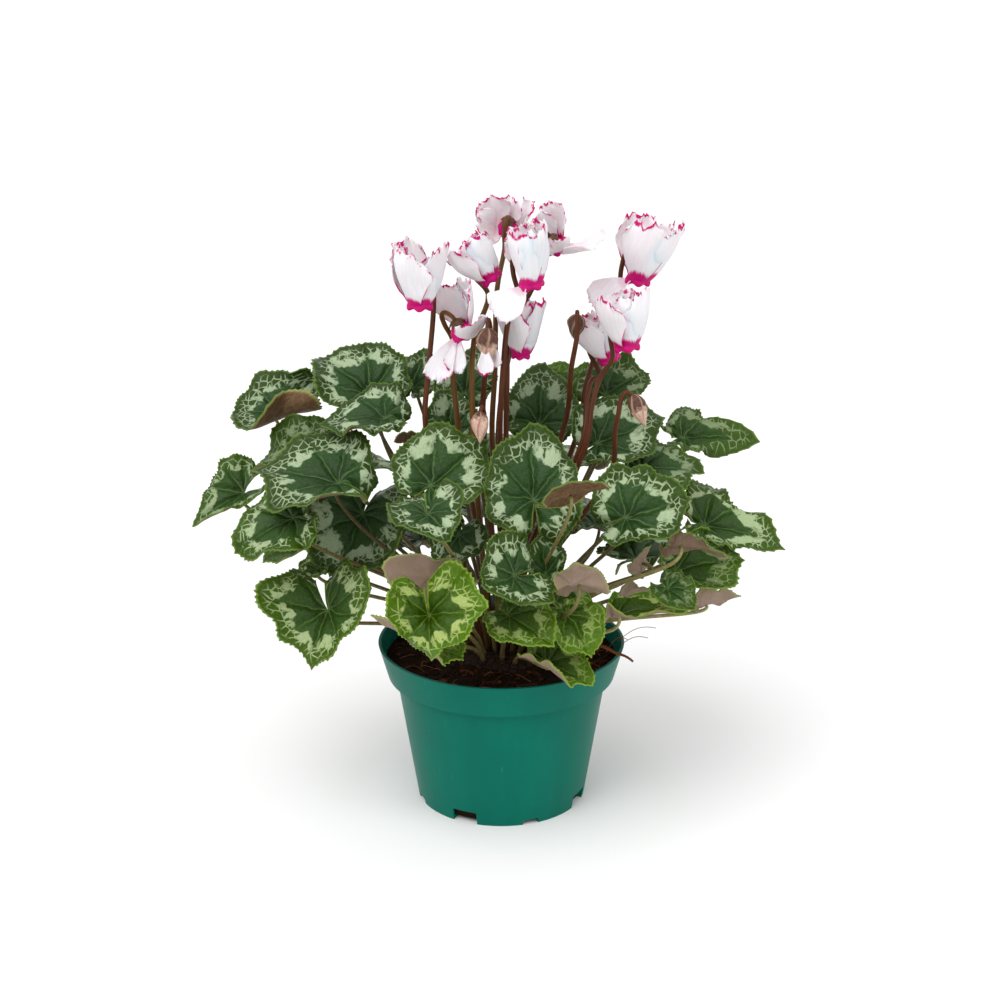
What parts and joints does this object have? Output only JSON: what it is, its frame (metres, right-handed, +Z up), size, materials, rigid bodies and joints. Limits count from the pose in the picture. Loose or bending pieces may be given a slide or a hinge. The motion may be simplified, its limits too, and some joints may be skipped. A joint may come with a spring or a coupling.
{
  "type": "potted cyclamen",
  "caption": "Flowering cyclamen in a round plastic nursery pot: marbled heart-shaped leaves under swept-back white blooms with magenta throats and fringes.",
  "frame": {"origin": "middle of the pot's flat underside, where the pot rests", "axes": "+Z up along the pot's axis, -Y towards the side that the picture shows, +X to the right there"},
  "size_m": [0.2833, 0.2056, 0.2935],
  "materials": {
    "pot_plastic": "satin",
    "peat": "matt",
    "corm": "matt",
    "leaf": "satin",
    "petal": "matt",
    "flower_stalk": "satin",
    "bud": "satin"
  },
  "bodies": {
    "root": {"pot": "pot_plastic", "soil": "peat", "tuber": "corm", "leaf_left_1": "leaf", "leaf_left_2": "leaf", "leaf_left_3": "leaf", "leaf_left_4": "leaf", "leaf_left_5": "leaf", "leaf_left_6": "leaf", "leaf_left_7": "leaf", "leaf_left_10": "leaf", "leaf_front_1": "leaf", "leaf_front_2": "leaf", "leaf_front_4": "leaf", "leaf_front_5": "leaf", "leaf_front_6": "leaf", "leaf_front_7": "leaf", "leaf_middle_1": "leaf", "leaf_middle_2": "leaf", "leaf_middle_3": "leaf", "leaf_middle_4": "leaf", "leaf_middle_7": "leaf", "leaf_right_1": "leaf", "leaf_right_2": "leaf", "leaf_right_3": "leaf", "leaf_right_4": "leaf", "leaf_right_5": "leaf", "leaf_right_6": "leaf", "leaf_right_8": "leaf", "leaf_right_9": "leaf", "leaf_back_1": "leaf", "leaf_back_2": "leaf", "leaf_back_3": "leaf", "leaf_far_1": "leaf", "leaf_far_2": "leaf", "leaf_far_3": "leaf", "leaf_far_4": "leaf", "bloom_1": "petal", "bloom_2": "petal", "bloom_3": "petal", "bloom_4": "petal", "bloom_5": "petal", "bloom_6": "petal", "bloom_7": "petal", "bloom_8": "petal", "bloom_9": "petal", "bloom_10": "petal", "stalk_1": "flower_stalk", "stalk_2": "flower_stalk", "stalk_3": "flower_stalk", "stalk_4": "flower_stalk", "stalk_5": "flower_stalk", "stalk_6": "flower_stalk", "stalk_7": "flower_stalk", "stalk_9": "flower_stalk", "bud_1": "bud", "bud_2": "bud", "bud_3": "bud", "bud_4": "bud"}
  },
  "joints": []
}
